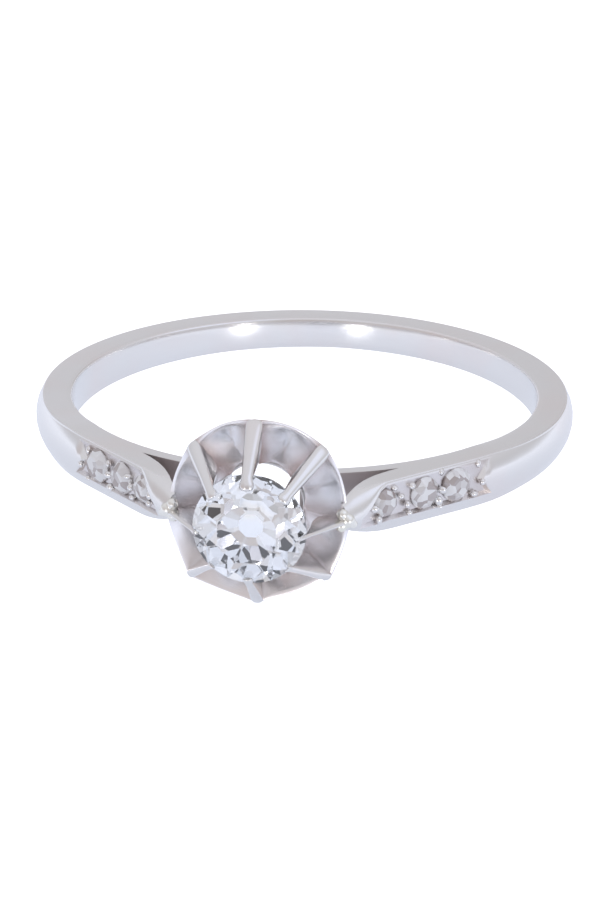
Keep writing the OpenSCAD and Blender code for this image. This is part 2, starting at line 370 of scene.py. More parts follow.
def inner_corner(thick, half, edge_r):
    """Rounded edge of the finger side, from the side face inwards."""
    points = []
    for i in range(CORNER_STEPS + 1):
        turn = math.pi / 2 * i / CORNER_STEPS
        depth = thick - edge_r * (1 - math.sin(turn))
        points.append((depth, half - edge_r * (1 - math.cos(turn))))
    return points


def section(along):
    """Points of a section as (depth, z) in column order."""
    lower, upper = half_widths(along)
    thick = thickness_at(along)
    edge = min(between(ROLL_EDGE, along), upper - EDGE_R)
    gap = thick if along > GAP_ALONG else min(GAP_DEPTH, thick - UPPER_EDGE_R - EDGE_R)
    points = outer_face(along, lower, upper, edge) + rolled_edge(along, upper, edge)
    points.append((gap, upper))
    points += inner_corner(thick, upper, UPPER_EDGE_R)
    points += [(thick + INNER_CROWN * (1 - share * share), upper * share) for share in INNER_SHARES]
    points += [(depth, -z) for depth, z in reversed(inner_corner(thick, lower, LOWER_EDGE_R))]
    points.append((gap, -lower))
    start = dome_depth(along, lower - EDGE_R)
    points.append((start + EDGE_R, -lower))
    points.append((start + EDGE_R * EDGE_MIDDLE, -lower + EDGE_R * EDGE_MIDDLE))
    return points


def fishtail_shift(column, along, tongue):
    """How far a column runs ahead of its section, which draws the channel's fishtail."""
    if column > EDGE_COLUMN + ROLL_STEPS:
        return 0
    middle = (CHANNEL_FIRST + CHANNEL_LAST) / 2
    if column < CHANNEL_FIRST:
        share = column / CHANNEL_FIRST
    elif column <= CHANNEL_LAST:
        share = abs(column - middle) / (CHANNEL_LAST - middle)
    else:
        share = (EDGE_COLUMN + ROLL_STEPS - column) / (EDGE_COLUMN + ROLL_STEPS - CHANNEL_LAST)
    near = max(0, 1 - abs(along - tongue) / FISHTAIL_FADE)
    return -FISHTAIL * share * near


# The shank: band, arms and rail. Finishes count on from 0, the polished one.
SIDE_FINISH, GAP_FINISH, CHANNEL_FINISH = 1, 2, 3
# A face whose normal points up or down by more than this is a flat side face
SIDE_FACE = 0.97


def section_places(side):
    """Lengths at which one half of the shank has a section, from the middle of the back."""
    tongue = TONGUE_AT[side]
    plain = tongue - FISHTAIL_FADE - BACK_ALONG
    places = [BACK_ALONG + plain * i / BAND_STEPS for i in range(BAND_STEPS + 1)]
    places += [tongue - length for length in BEFORE_TONGUE]
    places.append(tongue)
    places += [along for along in CLOSED_ARM if along > tongue + AFTER_TONGUE]
    places.append(GAP_ALONG)
    return places + list(OPEN_ARM)


def next_section(bm, face, side, along, number):
    """Extrudes the end face of the shank to the next section."""
    column = bm.verts.layers.int["column"]
    station = bm.verts.layers.int["station"]
    new = drawn_on(bm, face)
    for v in new.verts:
        ahead = along + fishtail_shift(v[column], along, TONGUE_AT[side])
        depth, z = section(ahead)[v[column]]
        v.co = on_band(side, ahead, depth, z)
        v[station] = number
    return new


def parted(bm, face):
    """Splits the end of the closed arm at the gap, into the rail's end and the arm's own."""
    column = bm.verts.layers.int["column"]
    ends = [[v for v in face.verts if v[column] == c][0] for c in (GAP_UPPER, GAP_LOWER)]
    other = bmesh.utils.face_split(face, *ends)[0]
    return sorted((other, face), key=lambda f: len(f.verts))


def rail(bm, side, face):
    """Carries the finger side of the split end on round the finger hole, into the collar."""
    reach = GAP_ANGLE - math.asin(RAIL_END_X / RAIL_R)
    turn = Matrix.Rotation(-side * reach / RAIL_STEPS, 3, "Z")
    for step in range(RAIL_STEPS):
        face = drawn_on(bm, face)
        bmesh.ops.rotate(bm, verts=list(face.verts), cent=(0, 0, 0), matrix=turn)
    for v in face.verts:
        radius = math.hypot(v.co.x, v.co.y)
        v.co.x = side * math.sqrt(RAIL_END_R * RAIL_END_R - v.co.z * v.co.z)
        v.co.y = -math.sqrt(radius * radius - v.co.x * v.co.x)


def half_shank(bm, side):
    """One half of the shank, from the middle of the back to the tips of the arm and the rail."""
    column = bm.verts.layers.int["column"]
    first = [bm.verts.new(on_band(side, BACK_ALONG, *point)) for point in section(BACK_ALONG)]
    for number, v in enumerate(first):
        v[column] = number
    face = bm.faces.new(first)
    places = section_places(side)
    for number, along in enumerate(places[1:], 1):
        face = next_section(bm, face, side, along, number)
        if along == GAP_ALONG:
            rail_face, face = parted(bm, face)
            rail(bm, side, rail_face)
    channel(bm, side, places.index(TONGUE_AT[side]), places.index(CHANNEL_END))


def channel_region(bm, side, first, last):
    """Faces of one arm that the channel takes up, between two sections."""
    column = bm.verts.layers.int["column"]
    station = bm.verts.layers.int["station"]
    inside = set(v for v in bm.verts
                 if first <= v[station] <= last and CHANNEL_FIRST <= v[column] <= CHANNEL_LAST
                 and v.co.x * side > 0)
    return [f for f in bm.faces if all(v in inside for v in f.verts)]


def sink(bm, side, region):
    """Lays a region flat at the channel's depth, opens it there and gives its edges."""
    outward = outward_from(side)
    for v in set(v for f in region for v in f.verts):
        v.co += outward * (OUTER_R - FLOOR_DEPTH - v.co.dot(outward))
    edges = dict.fromkeys(e for f in region for e in f.edges)
    rim = [e for e in edges if sum(f in region for f in e.link_faces) == 1]
    bmesh.ops.delete(bm, geom=region, context="FACES_KEEP_BOUNDARY")
    return rim


def seat_edges(bm, side, along, diameter):
    """The round edge of a stone's seat in the channel's floor."""
    made = bmesh.ops.create_circle(bm, segments=SEAT_SIDES, radius=diameter / 2 - SEAT_STEP)
    bmesh.ops.transform(bm, matrix=on_arm(side, along, FLOOR_DEPTH), verts=made["verts"])
    return list(dict.fromkeys(e for v in made["verts"] for e in v.link_edges))


def drill(bm, side, edges, along, diameter):
    """Draws the edge of a seat in and down, and closes its bottom."""
    made = bmesh.ops.extrude_edge_only(bm, edges=edges)
    verts = made_of(made["geom"], bmesh.types.BMVert)
    bottom = [e for e in made_of(made["geom"], bmesh.types.BMEdge) if all(v in verts for v in e.verts)]
    middle = on_arm(side, along, FLOOR_DEPTH).translation
    bmesh.ops.scale(bm, vec=[SEAT_FLOOR] * 3, space=Matrix.Translation(-middle), verts=verts)
    bmesh.ops.translate(bm, vec=-outward_from(side) * SEAT_DEPTH * (diameter / 2), verts=verts)
    bmesh.ops.contextual_create(bm, geom=bottom)


def channel(bm, side, first, last):
    """Sinks the channel and drills its stones' seats; its walls at the fishtail keep the polish."""
    station = bm.verts.layers.int["station"]
    region = channel_region(bm, side, first, last)
    before = set(bm.faces)
    walls = bmesh.ops.inset_region(bm, faces=region, thickness=WALL_SLOPE, use_even_offset=True)["faces"]
    start_walls = [f for f in walls if all(v[station] == first for v in f.verts)]
    rim = sink(bm, side, region)
    stones = list(zip(SMALL_AT[side], SMALL_D))
    seats = [seat_edges(bm, side, along, diameter) for along, diameter in stones]
    bmesh.ops.triangle_fill(bm, use_beauty=True, edges=rim + [e for seat in seats for e in seat])
    for edges, (along, diameter) in zip(seats, stones):
        drill(bm, side, edges, along, diameter)
    for f in bm.faces:
        if f not in before and f not in start_walls:
            f.material_index = CHANNEL_FINISH


def set_finishes(bm):
    """The flat side faces of the shank are satin. The polish hasn't reached inside the gaps, which
    are rougher there and carry painted shade: a darker, browner colour.
    """
    column = bm.verts.layers.int["column"]
    for f in bm.faces:
        f.normal_update()
        if f.material_index == CHANNEL_FINISH:
            continue
        if set(v[column] for v in f.verts) == {GAP_UPPER, GAP_LOWER}:
            f.material_index = GAP_FINISH
        elif abs(f.normal.z) > SIDE_FACE:
            f.material_index = SIDE_FINISH


def shank():
    """Band, arms and rail in one, with a finish for each kind of face."""
    bm = bmesh.new()
    bm.verts.layers.int.new("column")
    bm.verts.layers.int.new("station")
    for side in (RIGHT, LEFT):
        half_shank(bm, side)
    set_finishes(bm)
    return bm


def grains(side):
    """The small beads of metal that hold one shoulder's stones."""
    bm = bmesh.new()
    hand = random.Random(side)
    for along, z in GRAINS[side]:
        made = bmesh.ops.create_icosphere(bm, subdivisions=GRAIN_ROUNDING, radius=GRAIN_R)
        stretch = [hand.uniform(*GRAIN_SHAPE) for axis in "xyz"]
        bmesh.ops.scale(bm, vec=stretch, verts=made["verts"])
        place = on_band(side, along, dome_depth(along, z) + GRAIN_SINK, z)
        bmesh.ops.translate(bm, vec=place, verts=made["verts"])
    return bm


def solder(side):
    """The solder that joins one arm's tip to the cup, as single drops."""
    bm = bmesh.new()
    for along, z, depth, radius in SOLDER:
        made = bmesh.ops.create_icosphere(bm, subdivisions=DROP_ROUNDING, radius=radius)
        bmesh.ops.translate(bm, vec=on_band(side, along, depth, z), verts=made["verts"])
    return bm


def melt(piece):
    """Runs the drops of a piece of solder together."""
    melted = piece.modifiers.new("melted", "REMESH")
    melted.mode = "VOXEL"
    melted.voxel_size = SOLDER_STEP * MM
    melted.use_smooth_shade = True
    softened = piece.modifiers.new("softened", "SMOOTH")
    softened.factor = SOLDER_SOFTNESS
    softened.iterations = SOLDER_PASSES


def round_off(piece):
    """Rounds a piece by subdivision."""
    rounding = piece.modifiers.new("rounding", "SUBSURF")
    rounding.levels = rounding.render_levels = CLAW_ROUNDING


# The head: cup, collar and claws, modelled with Z out of the finger
def claw_angle(number):
    """Angle of a claw, counted on past a full turn."""
    return number * FLUTE + math.radians(CLAW_TURN[number % CLAWS])


def cup_radius(number, share):
    """Radius of the cup in line with a claw, a share of the way from hole to rim."""
    return HOLE_EDGE_R + (RIM_R[number % CLAWS] - HOLE_EDGE_R) * share


def raised_share(place):
    """0 at the lowest petal of the cup and 1 at the highest."""
    return (1 + place.y / math.hypot(place.x, place.y)) / 2


def cup_place(number, share):
    """Place on the cup: a number of steps round it, and a share of the way from hole to rim."""
    flute, step = divmod(number, FLUTE_STEPS)
    t = step / FLUTE_STEPS
    middle = 4 * t * (1 - t)
    corners = []
    for claw_number in (flute, flute + 1):
        r = cup_radius(claw_number, share)
        angle = claw_angle(claw_number)
        corners.append(Vector((r * math.cos(angle), r * math.sin(angle), 0)))
    along = corners[1] - corners[0]
    outward = Vector((along.y, -along.x, 0)).normalized()
    place = corners[0] + t * along
    upper = raised_share(place)
    bulge = HOLE_BULGE + (RIM_BULGE * math.sqrt(upper) - HOLE_BULGE) * share
    place += bulge * middle * outward
    rise = 1 - (1 - share) ** (1 + FLARE * upper)
    dip = RIM_DIP * upper * middle * share
    fold = FLUTE_FOLD[flute] * (1 - abs(2 * t - 1)) * math.sin(math.pi * share)
    place.z = HOLE_EDGE_H + (RIM_H - HOLE_EDGE_H) * rise - dip - fold
    return place


def painted_shade_at(number, share, upper):
    """How much shade is painted on a place on the cup, 0 to 1."""
    flute, step = divmod(number, FLUTE_STEPS)
    t = step / FLUTE_STEPS
    from_claw = min(t, 1 - t) * FLUTE * cup_radius(flute, share)
    beside_claw = math.exp(-(from_claw / PAINTED_SHADE_WIDTH) ** 2) * (PAINTED_SHADE_LOW + (1 - PAINTED_SHADE_LOW) * upper)
    return max(beside_claw, PAINTED_SHADE_HOLE * (1 - share) ** 2)


def cup_skin(bm):
    """One ring drawn out step by step from the cup's hole to its rim."""
    around = bm.verts.layers.int.new("around")
    # Each vertex keeps how much shade is painted on it
    painted_shade = bm.verts.layers.float.new("painted_shade")
    count = CLAWS * FLUTE_STEPS
    bmesh.ops.create_circle(bm, segments=count, radius=1)
    for v in bm.verts:
        v[around] = round(math.atan2(v.co.y, v.co.x) / (2 * math.pi) * count) % count
    ring = list(bm.verts)
    edges = list(bm.edges)
    for step in range(CUP_STEPS + 1):
        if step:
            made = bmesh.ops.extrude_edge_only(bm, edges=edges)["geom"]
            ring = made_of(made, bmesh.types.BMVert)
            edges = [e for e in made_of(made, bmesh.types.BMEdge) if all(v in ring for v in e.verts)]
        for v in ring:
            v.co = cup_place(v[around], step / CUP_STEPS)
            v[painted_shade] = painted_shade_at(v[around], step / CUP_STEPS, raised_share(v.co))


def cup():
    """The fluted cup: a skin that is given a wall, with its edges rounded."""
    bm = bmesh.new()
    cup_skin(bm)
    bmesh.ops.recalc_face_normals(bm, faces=bm.faces)
    if sum(f.normal.z for f in bm.faces) > 0:
        bmesh.ops.reverse_faces(bm, faces=bm.faces)
    bmesh.ops.solidify(bm, geom=list(bm.faces), thickness=-CUP_T)
    edges = [e for e in bm.edges if e.is_manifold and e.calc_face_angle() > CUP_EDGE_ANGLE]
    bmesh.ops.bevel(bm, geom=edges, offset=CUP_EDGE_R, segments=2, profile=0.5, affect="EDGES",
                    material=-1, clamp_overlap=True)
    return bm


def collar():
    """The short collar between the rail and the cup: a rounded bar turned round the head's axis."""
    bm = bmesh.new()
    corners = ((HOLE_EDGE_R, COLLAR_FOOT), (COLLAR_R, COLLAR_FOOT),
               (COLLAR_R, COLLAR_TOP), (HOLE_EDGE_R, COLLAR_TOP))
    face = bm.faces.new([bm.verts.new((r, 0, h)) for r, h in corners])
    bmesh.ops.bevel(bm, geom=list(face.verts), offset=COLLAR_EDGE_R, segments=3, profile=0.5,
                    affect="VERTICES", material=-1)
    bmesh.ops.delete(bm, geom=list(bm.faces), context="FACES_ONLY")
    bmesh.ops.spin(bm, geom=list(bm.verts) + list(bm.edges), axis=(0, 0, 1), cent=(0, 0, 0),
                   angle=2 * math.pi, steps=COLLAR_STEPS, use_merge=True)
    return bm


def claw_section(row, number):
    """Six points round a claw's section, for a claw that stands along +X."""
    top_at, top_h, foot_at, foot_h, top_w, foot_w = row
    girdle_r = STONE_D / 2
    top_r, foot_r = [girdle_r + at * (RIM_R[number] - girdle_r if at > 0 else CLAW_REACH[number])
                     for at in (top_at, foot_at)]
    top, foot = Vector((top_r, 0, top_h)), Vector((foot_r, 0, foot_h))
    shoulder = top + (foot - top).normalized() * min(CLAW_SHOULDER, (foot - top).length / 2)
    points = []
    for place, half in ((top, top_w * CLAW_TOP_SHARE), (shoulder, top_w), (foot, foot_w)):
        aside = Vector((0, half * CLAW_WIDTH[number], 0))
        points.append(place + aside)
        points.insert(0, place - aside)
    return points


def claw(bm, number):
    """One claw: a tall section drawn along its line; subdivision then rounds it."""
    order = bm.verts.layers.int["order"]
    verts = [bm.verts.new(point) for point in claw_section(CLAW_SECTIONS[0], number)]
    for place, v in enumerate(verts):
        v[order] = place
    face = bm.faces.new(verts)
    for row in CLAW_SECTIONS[1:]:
        face = drawn_on(bm, face)
        points = claw_section(row, number)
        for v in face.verts:
            v.co = points[v[order]]
    bm.faces.new(verts)


def claws():
    """All claws, each turned to its place."""
    bm = bmesh.new()
    bm.verts.layers.int.new("order")
    for number in range(CLAWS):
        before = set(bm.verts)
        claw(bm, number)
        made = [v for v in bm.verts if v not in before]
        turn = Matrix.Rotation(claw_angle(number), 3, "Z")
        bmesh.ops.rotate(bm, verts=made, cent=(0, 0, 0), matrix=turn)
    return bm


# Cutting stones
def rough(diameter, sides):
    """A round rough stone, upright and with its girdle at 0."""
    bm = bmesh.new()
    bmesh.ops.create_cone(bm, segments=sides, radius1=diameter / 2, radius2=diameter / 2,
                          depth=diameter, cap_ends=True)
    return bm


def facet(bm, point, normal):
    """Grinds one flat on a stone: cuts off what lies beyond a plane and closes the cut."""
    made = bmesh.ops.bisect_plane(bm, geom=list(bm.verts) + list(bm.edges) + list(bm.faces),
                                  dist=CUT_WITHIN, plane_co=point, plane_no=normal,
                                  clear_outer=True)
    edges = made_of(made["geom_cut"], bmesh.types.BMEdge)
    if len(edges) > 2:
        bmesh.ops.contextual_create(bm, geom=edges)


def ring_of_facets(bm, count, start, radius, height, slope):
    """A ring of equal flats through points at a radius and height. A slope of 0 looks straight up."""
    for number in range(count):
        angle = start + number * 2 * math.pi / count
        out = Vector((math.cos(angle), math.sin(angle), 0))
        normal = out * math.sin(slope) + Vector((0, 0, math.cos(slope)))
        facet(bm, out * radius + Vector((0, 0, height)), normal)


def old_cut(diameter):
    """An old round cut: eight mains with their halves, eight stars, and a small culet."""
    bm = rough(diameter, ROUGH_SIDES)
    r = diameter / 2
    half = GIRDLE_T * r / 2
    raised = half + MAIN_RAISE * r
    table = half + CROWN_H * r
    crown = math.radians(CROWN_SLOPE)
    pavilion = math.pi - math.radians(PAVILION_SLOPE)
    turn = math.pi / MAINS
    ring_of_facets(bm, MAINS, 0, r, raised, crown)
    ring_of_facets(bm, MAINS, 0, r, -raised, pavilion)
    ring_of_facets(bm, 2 * MAINS, turn / 2, r, half, crown + math.radians(UPPER_HALF_STEEPER))
    ring_of_facets(bm, 2 * MAINS, turn / 2, r, -half, pavilion - math.radians(LOWER_HALF_STEEPER))
    ring_of_facets(bm, MAINS, turn, TABLE * r * STAR_REACH, table, crown - math.radians(STAR_EASE))
    facet(bm, Vector((0, 0, table)), Vector((0, 0, 1)))
    facet(bm, Vector((0, 0, -half - PAVILION_H * r)), Vector((0, 0, -1)))
    return bm


def single_cut(diameter):
    """A small stone with eight crown and eight pavilion facets."""
    bm = rough(diameter, SMALL_ROUGH_SIDES)
    r = diameter / 2
    half = GIRDLE_T * r / 2
    slope = math.radians(SMALL_SLOPE)
    ring_of_facets(bm, MAINS, 0, r, half, slope)
    ring_of_facets(bm, MAINS, math.pi / MAINS, r, -half, math.pi - slope)
    facet(bm, Vector((0, 0, half + SMALL_CROWN_H * r)), Vector((0, 0, 1)))
    return bm


# Worked metal: scales are counts per metre. Patches of tint run from the first of PATCH_EDGES to
# the second, and scratches are finer across the band than along it and lower than the polish waves.
TINT_PATCHES = {"Scale": 380.0, "Detail": 3.0, "Roughness": 0.5}
PATCH_EDGES = (0.46, 0.68)
POLISH_WAVES = {"Scale": 1300.0, "Detail": 2.0, "Roughness": 0.5}
SCRATCHES = {"Scale": 9000.0, "Detail": 4.0, "Roughness": 0.65}
SCRATCH_STRETCH = (1.0, 1.0, 6.0)
SCRATCH_HEIGHT = 0.04
DIAMOND_IOR = 2.42


def add_node(nodes, kind, **values):
    """A node with some of its inputs set by name."""
    node = nodes.new(kind)
    for name, value in values.items():
        node.inputs[name.replace("_", " ")].default_value = value
    return node


def add_mix(nodes, **colours):
    """A node that mixes two colours, A and B, of which any may be given."""
    node = nodes.new("ShaderNodeMix")
    node.data_type = "RGBA"
    for name, colour in colours.items():
        node.inputs[name].default_value = (*colour, 1)
    return node


def add_scaled_sum(nodes):
    """A node that gives its first value times its second, plus its third."""
    node = nodes.new("ShaderNodeMath")
    node.operation = "MULTIPLY_ADD"
    return node


def new_material(name):
    """A material with its nodes, its links and its shader."""
    material = bpy.data.materials.new(name)
    material.use_nodes = True
    tree = material.node_tree
    return material, tree.nodes, tree.links, tree.nodes["Principled BSDF"]


def worked_metal_sockets(group):
    """What the group of worked metal takes and gives."""
    for name, kind, value in (("Metal", "NodeSocketColor", (0.8, 0.8, 0.8, 1)),
                              ("Tint", "NodeSocketColor", (0.8, 0.8, 0.8, 1)),
                              ("Dullness", "NodeSocketFloat", 0.15),
                              ("Unevenness", "NodeSocketFloat", 0.05)):
        socket = group.interface.new_socket(name=name, in_out="INPUT", socket_type=kind)
        socket.default_value = value
    for name, kind in (("Color", "NodeSocketColor"), ("Roughness", "NodeSocketFloat"),
                       ("Height", "NodeSocketFloat")):
        group.interface.new_socket(name=name, in_out="OUTPUT", socket_type=kind)


def tinted_colour(nodes, links, given, place):
    """The metal's colour with slow changes to its tint."""
    patches = add_node(nodes, "ShaderNodeTexNoise", **TINT_PATCHES)
    tinted = add_node(nodes, "ShaderNodeMapRange", From_Min=PATCH_EDGES[0], From_Max=PATCH_EDGES[1])
    colour = add_mix(nodes)
    links.new(place.outputs["Object"], patches.inputs["Vector"])
    links.new(patches.outputs["Fac"], tinted.inputs["Value"])
    links.new(tinted.outputs["Result"], colour.inputs["Factor"])
    links.new(given.outputs["Metal"], colour.inputs["A"])
    links.new(given.outputs["Tint"], colour.inputs["B"])
    return colour.outputs["Result"]


def worked_metal_group():
    """Slow changes of colour, polish waves and fine scratches on hand-worked metal."""
    group = bpy.data.node_groups.new("worked metal", "ShaderNodeTree")
    worked_metal_sockets(group)
    nodes, links = group.nodes, group.links
    given = nodes.new("NodeGroupInput")
    result = nodes.new("NodeGroupOutput")
    place = nodes.new("ShaderNodeTexCoord")
    waves = add_node(nodes, "ShaderNodeTexNoise", **POLISH_WAVES)
    stretch = add_node(nodes, "ShaderNodeMapping", Scale=SCRATCH_STRETCH)
    scratches = add_node(nodes, "ShaderNodeTexNoise", **SCRATCHES)
    roughness = add_scaled_sum(nodes)
    height = add_scaled_sum(nodes)
    height.inputs[1].default_value = SCRATCH_HEIGHT
    links.new(place.outputs["Object"], waves.inputs["Vector"])
    links.new(place.outputs["Object"], stretch.inputs["Vector"])
    links.new(stretch.outputs["Vector"], scratches.inputs["Vector"])
    links.new(scratches.outputs["Fac"], roughness.inputs[0])
    links.new(given.outputs["Unevenness"], roughness.inputs[1])
    links.new(given.outputs["Dullness"], roughness.inputs[2])
    links.new(scratches.outputs["Fac"], height.inputs[0])
    links.new(waves.outputs["Fac"], height.inputs[2])
    links.new(tinted_colour(nodes, links, given, place), result.inputs["Color"])
    links.new(roughness.outputs["Value"], result.inputs["Roughness"])
    links.new(height.outputs["Value"], result.inputs["Height"])
    return group


def metal(name, group, colour, tint, dullness, unevenness, bump, painted_shade=None):
    """White gold from the shared group; bump is in microns, and the last colour is the shade painted
    beside the claws.
    """
    material, nodes, links, shader = new_material(name)
    shader.inputs["Metallic"].default_value = 1.0
    worked = nodes.new("ShaderNodeGroup")
    worked.node_tree = group
    worked.inputs["Metal"].default_value = (*colour, 1)
    worked.inputs["Tint"].default_value = (*tint, 1)
    worked.inputs["Dullness"].default_value = dullness
    worked.inputs["Unevenness"].default_value = unevenness
    uneven = add_node(nodes, "ShaderNodeBump", Strength=1.0, Distance=bump * MICRON)
    base = worked.outputs["Color"]
    # Painted shade: where the mesh holds it, the colour goes towards a dark brown
    if painted_shade:
        darkened = nodes.new("ShaderNodeAttribute")
        darkened.attribute_name = "painted_shade"
        mix = add_mix(nodes, B=painted_shade)
        links.new(darkened.outputs["Fac"], mix.inputs["Factor"])
        links.new(base, mix.inputs["A"])
        base = mix.outputs["Result"]
    links.new(base, shader.inputs["Base Color"])
    links.new(worked.outputs["Roughness"], shader.inputs["Roughness"])
    links.new(worked.outputs["Height"], uneven.inputs["Height"])
    links.new(uneven.outputs["Normal"], shader.inputs["Normal"])
    return material


def stone_material(name, clearness, clear, second_tint, tint_pattern, tint_from, tint_to):
    """Clear stone with a second tint in its colour, laid on by a pattern.

    The pattern is given as a kind of texture node, its scale and its detail. In the centre stone it
    gives faint clouds; in the small stones its light and dark cells are painted sparkle, which
    stands in for facets that catch and miss the light."""
    material, nodes, links, shader = new_material(name)
    shader.inputs["Transmission Weight"].default_value = clearness
    shader.inputs["Roughness"].default_value = 0.0
    shader.inputs["IOR"].default_value = DIAMOND_IOR
    place = nodes.new("ShaderNodeTexCoord")
    kind, scale, detail = tint_pattern
    pattern = add_node(nodes, kind, Scale=scale, Detail=detail)
    share = add_node(nodes, "ShaderNodeMapRange", From_Min=tint_from, From_Max=tint_to)
    colour = add_mix(nodes, A=clear, B=second_tint)
    links.new(place.outputs["Object"], pattern.inputs["Vector"])
    links.new(pattern.outputs["Color"], share.inputs["Value"])
    links.new(share.outputs["Result"], colour.inputs["Factor"])
    links.new(colour.outputs["Result"], shader.inputs["Base Color"])
    return material


# Camera, fitted to the photo in the ring's frame: its turn to the right, its rise, its roll, its
# distance, and how far its line of sight passes to the left of the finger hole's middle and under it
VIEW_TURN = math.radians(8.81)
VIEW_RISE = math.radians(20.48)
VIEW_ROLL = math.radians(-0.343)
VIEW_REACH = 150.0
VIEW_LEFT = 0.160
VIEW_DOWN = 1.507
FOCAL_PX = 4091.7
FRAME_LONG_PX = 900
# In millimetres, and the near end of the view in metres
SENSOR = 36.0
CLIP_START = 0.01


def add_camera():
    """A camera that looks at the head from above, from the ring's right."""
    right = Vector((math.cos(VIEW_TURN), math.sin(VIEW_TURN), 0))
    ahead = Vector((-math.sin(VIEW_TURN) * math.cos(VIEW_RISE),
                    math.cos(VIEW_TURN) * math.cos(VIEW_RISE), -math.sin(VIEW_RISE)))
    up = right.cross(ahead)
    eye = -VIEW_LEFT * right - VIEW_DOWN * up - VIEW_REACH * ahead
    rolled = Matrix.Rotation(VIEW_ROLL, 3, ahead)
    turn = Matrix.Rotation(-TILT, 3, "X")
    axes = [turn @ (rolled @ right), turn @ (rolled @ up), turn @ -ahead]
    data = bpy.data.cameras.new("camera")
    data.sensor_width = SENSOR
    data.lens = FOCAL_PX * SENSOR / FRAME_LONG_PX
    data.clip_start = CLIP_START
    camera = bpy.data.objects.new("camera", data)
    camera.matrix_world = Matrix(axes).transposed().to_4x4()
    camera.matrix_world.translation = PLACE @ eye
    bpy.context.scene.collection.objects.link(camera)
    bpy.context.scene.camera = camera


# Studio, in metres. Directions are turns from the ring's front towards its right, and rises over
# the table, in degrees
STRIP_REACH = 0.2
STRIPS = (
    # turn, rise, width and height in degrees, radiance
    (41, 5, 8, 8, 9.0),
    (-19, 5, 6, 8, 9.0))
# Colour of the light tent by the sine of the rise
TENT = (
    (0.0, (0.8, 0.82, 0.9)),
    (0.15, (0.68, 0.68, 0.73)),
    (0.4, (0.76, 0.76, 0.81)),
    (0.75, (0.8, 0.8, 0.85)),
    (1.0, (0.82, 0.82, 0.88)))
# Parts of the light tent that differ: turn, rise, radii of the full and of the faded patch, colour
PATCHES = (
    (5, 14, 12, 32, (0.6, 0.56, 0.57)),
    (-50, 8, 18, 45, (0.66, 0.62, 0.64)),
    (170, 8, 8, 30, (0.62, 0.61, 0.63)),
    (82, 50, 12, 32, (1.0, 1.04, 1.2)))
# The table, with its glow as the ring mirrors it and as the camera sees it
FLOOR_R = 3.0
FLOOR_SIDES = 96
FLOOR_COLOUR = (0.3, 0.3, 0.32)
FLOOR_ROUGHNESS = 0.2
MIRRORED_GLOW = (0.56, 0.6, 0.69)
SEEN_GLOW = (1.05, 1.05, 1.05)


def direction(turn, rise):
    """Unit vector towards a turn and a rise in degrees."""
    turn, rise = math.radians(turn), math.radians(rise)
    return Vector((math.sin(turn) * math.cos(rise), -math.cos(turn) * math.cos(rise), math.sin(rise)))


def add_strip(turn, rise, width, height, radiance):
    """A small soft box that faces the ring."""
    data = bpy.data.lights.new("strip", "AREA")
    data.shape = "RECTANGLE"
    data.size = STRIP_REACH * math.radians(width)
    data.size_y = STRIP_REACH * math.radians(height)
    data.energy = radiance * math.pi * data.size * data.size_y
    light = bpy.data.objects.new("strip", data)
    way = direction(turn, rise)
    light.matrix_world = way.to_track_quat("Z", "Y").to_matrix().to_4x4()
    light.matrix_world.translation = way * STRIP_REACH
    bpy.context.scene.collection.objects.link(light)


def add_ramp(nodes, stops):
    """A colour ramp from (place, colour) stops."""
    node = nodes.new("ShaderNodeValToRGB")
    elements = node.color_ramp.elements
    while len(elements) < len(stops):
        elements.new(0.5)
    for element, (place, colour) in zip(elements, stops):
        element.position = place
        element.color = (*colour, 1)
    return node


def with_patch(nodes, links, place, base, patch):
    """The tent's colour with one patch laid over it."""
    turn, rise, full, faded, tint = patch
    near = nodes.new("ShaderNodeVectorMath")
    near.operation = "DOT_PRODUCT"
    near.inputs[1].default_value = direction(turn, rise)
    share = add_node(nodes, "ShaderNodeMapRange", From_Min=math.cos(math.radians(faded)),
                     From_Max=math.cos(math.radians(full)))
    mix = add_mix(nodes, B=tint)
    links.new(place.outputs["Generated"], near.inputs[0])
    links.new(near.outputs["Value"], share.inputs["Value"])
    links.new(share.outputs["Result"], mix.inputs["Factor"])
    links.new(base, mix.inputs["A"])
    return mix.outputs["Result"]


def add_tent():
    """A light tent: bright all round, greyer behind the ring, and darker where the lens looks in."""
    world = bpy.data.worlds.new("tent")
    bpy.context.scene.world = world
    world.use_nodes = True
    nodes, links = world.node_tree.nodes, world.node_tree.links
    place = nodes.new("ShaderNodeTexCoord")
    split = nodes.new("ShaderNodeSeparateXYZ")
    by_rise = add_ramp(nodes, TENT)
    links.new(place.outputs["Generated"], split.inputs["Vector"])
    links.new(split.outputs["Z"], by_rise.inputs["Fac"])
    colour = by_rise.outputs["Color"]
    for patch in PATCHES:
        colour = with_patch(nodes, links, place, colour, patch)
    links.new(colour, nodes["Background"].inputs["Color"])
    bpy.context.scene.view_settings.view_transform = "Standard"


def table_material():
    """A glossy pale table, which glows a little so that the ring's shadow stays faint."""
    material, nodes, links, shader = new_material("pale table")
    shader.inputs["Base Color"].default_value = (*FLOOR_COLOUR, 1)
    shader.inputs["Roughness"].default_value = FLOOR_ROUGHNESS
    shader.inputs["Emission Strength"].default_value = 1.0
    glow = add_mix(nodes, A=MIRRORED_GLOW, B=SEEN_GLOW)
    seen = nodes.new("ShaderNodeLightPath")
    links.new(seen.outputs["Is Camera Ray"], glow.inputs["Factor"])
    links.new(glow.outputs["Result"], shader.inputs["Emission Color"])
    return material


def add_floor():
    """The table under the ring."""
    bm = bmesh.new()
    bmesh.ops.create_circle(bm, segments=FLOOR_SIDES, radius=FLOOR_R, cap_ends=True)
    mesh = bpy.data.meshes.new("floor")
    bm.to_mesh(mesh)
    bm.free()
    mesh.materials.append(table_material())
    floor = bpy.data.objects.new("floor", mesh)
    bpy.context.scene.collection.objects.link(floor)


add_camera()
add_tent()
add_floor()
for strip in STRIPS:
    add_strip(*strip)

